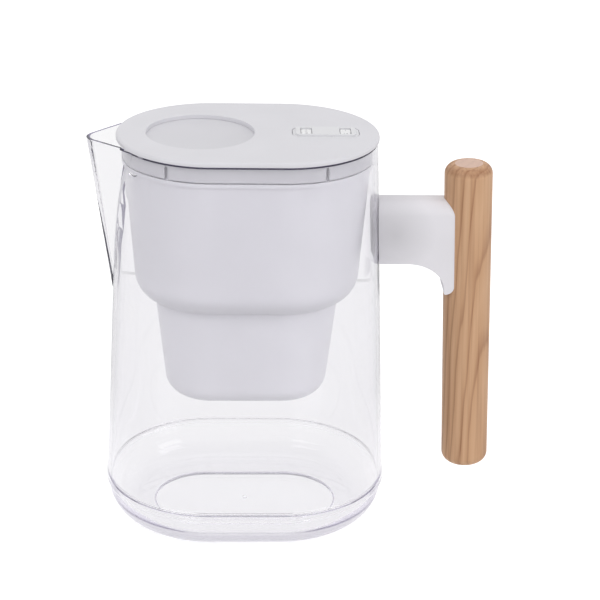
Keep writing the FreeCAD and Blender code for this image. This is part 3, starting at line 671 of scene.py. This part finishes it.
def wire_mesh(name, points, radius):
    curve = bpy.data.curves.new(name, "CURVE")
    curve.dimensions = "3D"
    curve.bevel_depth = radius
    curve.bevel_resolution = WIRE_ROUNDNESS
    curve.use_fill_caps = True
    spline = curve.splines.new("POLY")
    spline.points.add(len(points) - 1)
    for knot, point in zip(spline.points, points):
        knot.co = (*point, 1.0)
    mesh = mesh_of(curve)
    for face in mesh.polygons:
        face.use_smooth = True
    return mesh


# Torsion spring of the flap

SPRING_WIRE = 0.8 * MM
SPRING_COVER = 0.05 * MM
SPRING_TURNS = 11
SPRING_STEPS = 32
SPRING_TOUCH = 0.1 * MM
FLAP_SHEET = 1.8 * MM


def make_spring(material):
    """The coil with its leg under the lid, and beside it the other leg, which follows the flap."""
    low, high = node_box("flap_spring")
    pin_low, pin_high = node_box("flap_pin")
    hinge = (pin_low + pin_high) / 2
    wire_radius = SPRING_WIRE / 2
    radius = hinge.z - low.z - SPRING_COVER - wire_radius
    reach = high.y - SPRING_COVER - wire_radius
    start = SPRING_WIRE + SPRING_TOUCH - reach
    flap_top = node_box("fill_flap")[1].z
    coil = []
    for i in range(SPRING_TURNS * SPRING_STEPS + 1):
        share = i / (SPRING_TURNS * SPRING_STEPS)
        angle = 2 * math.pi * SPRING_TURNS * share - math.pi / 2
        coil.append(Vector((
            hinge.x + radius * math.cos(angle),
            start + (reach - start) * share,
            hinge.z + radius * math.sin(angle),
        )))
    lid_end = Vector((high.x, reach, high.z - wire_radius))
    wound = wire_mesh("spring_coil", coil + [lid_end], wire_radius)
    spring = add_piece("spring_coil", wound, material, "lid")
    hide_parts("flap_spring")
    flap_end = Vector((low.x, -reach, flap_top - FLAP_SHEET - SPRING_TOUCH - wire_radius))
    beside = Vector((coil[0].x, -reach, coil[0].z))
    leg = wire_mesh("spring_flap_leg", [flap_end, beside], wire_radius)
    add_piece("spring_flap_leg", leg, material, "flap")


# Numbers on the wheels

DAYS = 31
MONTHS = 12
NUMBER_LIFT = 0.03 * MM
NUMBER_SHARE = 0.62
NUMBER_TALLEST = 2.3 * MM
NUMBER_CUT = 0.3 * MM
# A figure's height as a share of the font's size
FIGURE_SHARE = 0.7


def number_mesh(number, height):
    """A number as a flat mesh, cut into narrow bands so that it can bend."""
    letters = bpy.data.curves.new("number", "FONT")
    letters.body = str(number)
    letters.size = height / FIGURE_SHARE
    letters.align_x = "CENTER"
    letters.align_y = "CENTER"
    mesh = mesh_of(letters)
    flat = bmesh.new()
    flat.from_mesh(mesh)
    bands = math.ceil(height / NUMBER_CUT)
    for i in range(-bands, bands + 1):
        everything = flat.verts[:] + flat.edges[:] + flat.faces[:]
        bmesh.ops.bisect_plane(flat, geom=everything, plane_co=(0, i * NUMBER_CUT, 0), plane_no=(0, 1, 0))
    flat.to_mesh(mesh)
    flat.free()
    return mesh


def make_numbers(name, wheel, count, material):
    """The numbers from 1 to count, bent round a wheel."""
    low, high = node_box(wheel)
    middle = (low + high) / 2
    radius = (high.z - low.z) / 2
    surface = radius + NUMBER_LIFT
    height = min(NUMBER_TALLEST, NUMBER_SHARE * 2 * math.pi * radius / count)
    ring = bmesh.new()
    for i in range(count):
        mesh = number_mesh(i + 1, height)
        for vertex in mesh.vertices:
            angle = 2 * math.pi * i / count + vertex.co.y / radius
            vertex.co = middle + Vector((vertex.co.x, surface * math.sin(angle), surface * math.cos(angle)))
        ring.from_mesh(mesh)
    whole = bpy.data.meshes.new(name)
    ring.to_mesh(whole)
    ring.free()
    add_piece(name, whole, material, wheel)


# The dressed part


def dress(material, *names):
    for name in names:
        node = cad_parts[name]
        node.data.materials.clear()
        node.data.materials.append(material)


def dress_part():
    """Gives every node its material, and adds the spring and the numbers."""
    dress(clear_plastic("clear_wall", WALL_DENSITY, WALL_REFLECTIONS, WALL_TRAPPED), "jug_body")
    dress(clear_plastic("clear_base", BASE_DENSITY, BASE_REFLECTIONS, WHITE), "jug_base")
    for name, colour, roughness, grain, names in PLASTICS:
        dress(moulded_plastic(name, colour, roughness, grain), *names)
    dress(bracket_plastic(), "handle_bracket")
    dress(grip_wood(), "handle_grip")
    dress(seal_rubber(), "cartridge_seal")
    dress(mesh_cloth(), "lower_mesh", "upper_mesh")
    dress(packed_grains(*BEADS), "resin_bed")
    dress(packed_grains(*CARBON), "carbon_bed")
    wire_steel = steel()
    dress(wire_steel, "grip_screws", "flap_pin", "flap_spring", "wheel_axle", "housing_screws")
    make_spring(wire_steel)
    ink = printed_ink()
    make_numbers("day_numbers", "day_wheel", DAYS, ink)
    make_numbers("month_numbers", "month_wheel", MONTHS, ink)


make_studio()
dress_part()
